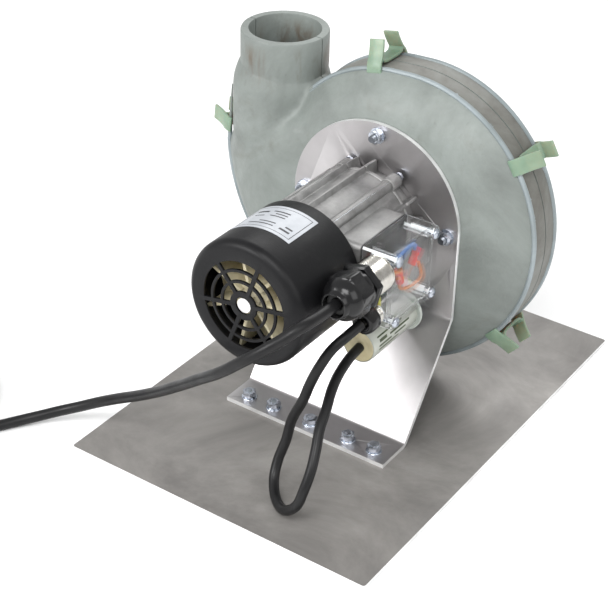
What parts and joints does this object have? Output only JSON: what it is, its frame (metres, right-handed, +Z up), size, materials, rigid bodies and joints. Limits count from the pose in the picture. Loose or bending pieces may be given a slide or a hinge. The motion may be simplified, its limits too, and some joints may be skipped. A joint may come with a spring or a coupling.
{
  "type": "centrifugal blower",
  "caption": "Centrifugal blower: fan-cooled motor on an angle bracket and base plate, driving an impeller in a clipped two-shell scroll casing with an upward outlet.",
  "frame": {"origin": "centre of the base plate's underside", "axes": "+Z up, +Y along the shaft from the motor towards the casing, +X to the terminal box side"},
  "size_m": [0.3254, 0.3343, 0.2035],
  "materials": {
    "plate_metal": "satin",
    "brushed_alu": "brushed",
    "zinc": "satin",
    "casing_grey": "satin",
    "seal_rubber": "matte",
    "clip_green": "translucent satin",
    "dark_steel": "satin",
    "cast_alu": "cast matte",
    "core_steel": "satin",
    "copper_wire": "varnished",
    "bright_steel": "polished",
    "fan_cream": "satin",
    "black_plastic": "satin",
    "label_film": "satin",
    "clear_plastic": "clear",
    "sleeve_red": "glossy",
    "wire_blue": "satin",
    "nickel": "polished",
    "resin_cream": "satin",
    "pale_plastic": "satin",
    "impeller_metal": "satin",
    "cord_rubber": "satin"
  },
  "bodies": {
    "blower": {"base_plate": "plate_metal", "bracket": "brushed_alu", "foot_bolts": "zinc", "foot_spring_washers": "zinc", "foot_washers": "zinc", "casing_front": "casing_grey", "casing_rear": "casing_grey", "casing_seal": "seal_rubber", "inlet_collar": "casing_grey", "spring_clips": "clip_green", "casing_studs": "dark_steel", "stud_nuts": "zinc", "stud_washers": "zinc", "motor_housing": "cast_alu", "drive_end_shield": "cast_alu", "rear_end_shield": "cast_alu", "stator_core": "core_steel", "front_winding": "copper_wire", "rear_winding": "copper_wire", "tie_rods": "zinc", "flange_screws": "zinc", "front_bearing": "bright_steel", "rear_bearing": "bright_steel", "shaft_seal": "seal_rubber", "fan_cowl": "black_plastic", "cowl_screws": "zinc", "rating_label": "label_film", "terminal_box": "clear_plastic", "box_gasket": "seal_rubber", "box_cover": "clear_plastic", "cover_screws": "zinc", "crimp_sleeves": "sleeve_red", "inner_wires": "wire_blue", "large_nipple": "nickel", "gland_body": "black_plastic", "gland_nut": "black_plastic", "gland_seal": "seal_rubber", "small_nipple": "nickel", "small_gland_nut": "black_plastic", "capacitor_can": "bright_steel", "capacitor_resin": "resin_cream", "capacitor_sleeve": "pale_plastic", "capacitor_disc": "pale_plastic", "capacitor_stud": "zinc", "capacitor_nut": "zinc", "mains_cord": "cord_rubber", "mains_coil": "cord_rubber", "loop_cord": "cord_rubber"},
    "rotor": {"rotor_shaft": "bright_steel", "rotor_core": "core_steel", "cooling_fan": "fan_cream", "impeller_back_plate": "impeller_metal", "impeller_blades": "impeller_metal", "impeller_shroud": "impeller_metal", "impeller_hub": "cast_alu", "hub_screw": "dark_steel"}
  },
  "joints": [
    {"name": "rotor_spin", "type": "hinge", "parent": "blower", "child": "rotor", "pos_m": [0, 0, 0.115], "axis": [0, 1, 0], "continuous": true}
  ]
}
